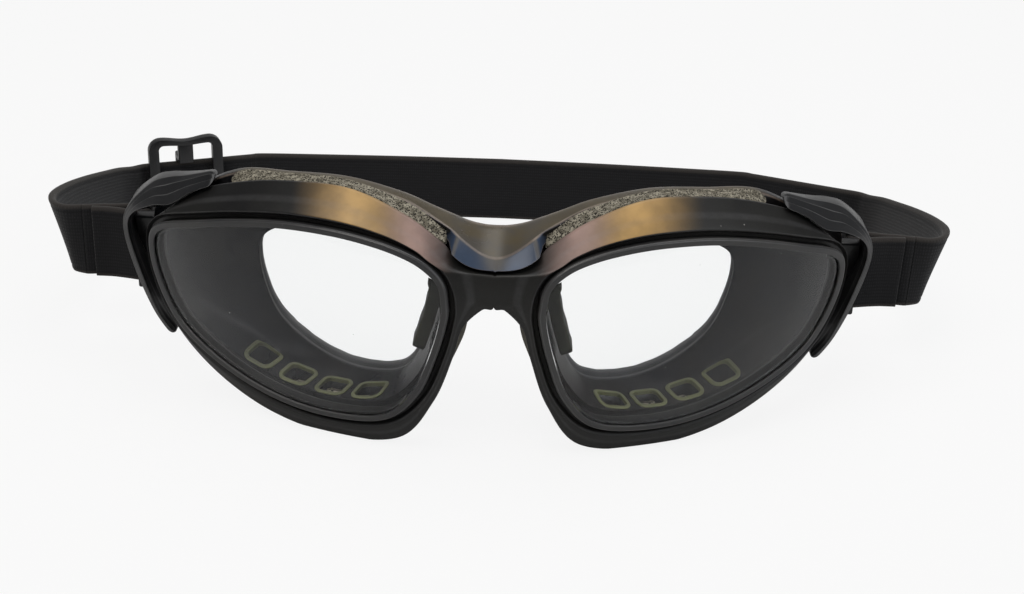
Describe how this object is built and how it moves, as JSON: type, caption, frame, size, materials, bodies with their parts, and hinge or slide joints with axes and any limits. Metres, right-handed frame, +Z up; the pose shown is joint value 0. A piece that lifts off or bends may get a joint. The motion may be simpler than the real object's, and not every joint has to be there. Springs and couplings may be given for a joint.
{
  "type": "strapped ballistic safety glasses",
  "caption": "Sealed wrap-around ballistic safety glasses with clear lenses, foam vents, soft gaskets and an elastic head strap; the lens carriage slides to close the vents.",
  "frame": {"origin": "on the surface the glasses stand on, under the middle of the whole part, on the nose plane", "axes": "+X to the right in the picture, +Y from the lenses back to the rear of the strap, +Z up"},
  "size_m": [0.1942, 0.1237, 0.0513],
  "materials": {
    "frame": "satin",
    "carriage": "satin",
    "lens": "clear",
    "rim": "satin",
    "foam": "open cell foam",
    "gasket": "matte",
    "pad": "matte",
    "pad_clip": "matte",
    "pin": "satin",
    "clip": "satin",
    "strap": "woven elastic"
  },
  "bodies": {
    "frame": {"main_frame": "frame", "side_bracket_left": "frame", "side_bracket_right": "frame", "vent_foam_top_left": "foam", "vent_foam_top_right": "foam", "vent_foam_bottom_left": "foam", "vent_foam_bottom_right": "foam", "face_gasket_left": "gasket", "face_gasket_right": "gasket", "nose_pad_left": "pad", "nose_pad_right": "pad", "pad_clip_left": "pad_clip", "pad_clip_right": "pad_clip", "hinge_pin_left": "pin", "hinge_pin_right": "pin", "strap_end_left": "strap", "strap_end_right": "strap", "strap": "strap"},
    "carriage": {"lens_carriage": "carriage", "guide_pins": "pin", "lens_left": "lens", "lens_right": "lens", "lens_rim_left": "rim", "lens_rim_right": "rim"},
    "clip_left": {"strap_clip_left": "clip"},
    "clip_right": {"strap_clip_right": "clip"},
    "slider": {"strap_slider": "clip"}
  },
  "joints": [
    {"name": "carriage_slide", "type": "slide", "parent": "frame", "child": "carriage", "axis": [0, 1, 0], "range_m": [0, 0.003], "deforming": ["vent_foam_top_left", "vent_foam_top_right"]},
    {"name": "clip_left_hinge", "type": "hinge", "parent": "frame", "child": "clip_left", "pos_m": [-0.0666, -0.00955, 0.0211], "axis": [0, 0, 1], "range_deg": [-20, 3], "deforming": ["strap_end_left"]},
    {"name": "clip_right_hinge", "type": "hinge", "parent": "frame", "child": "clip_right", "pos_m": [0.0666, -0.00955, 0.0211], "axis": [0, 0, 1], "range_deg": [-3, 20], "deforming": ["strap_end_right"]},
    {"name": "slider_slide", "type": "slide", "parent": "frame", "child": "slider", "axis": [0.9337, 0.358, 0], "range_m": [0, 0.007]}
  ]
}
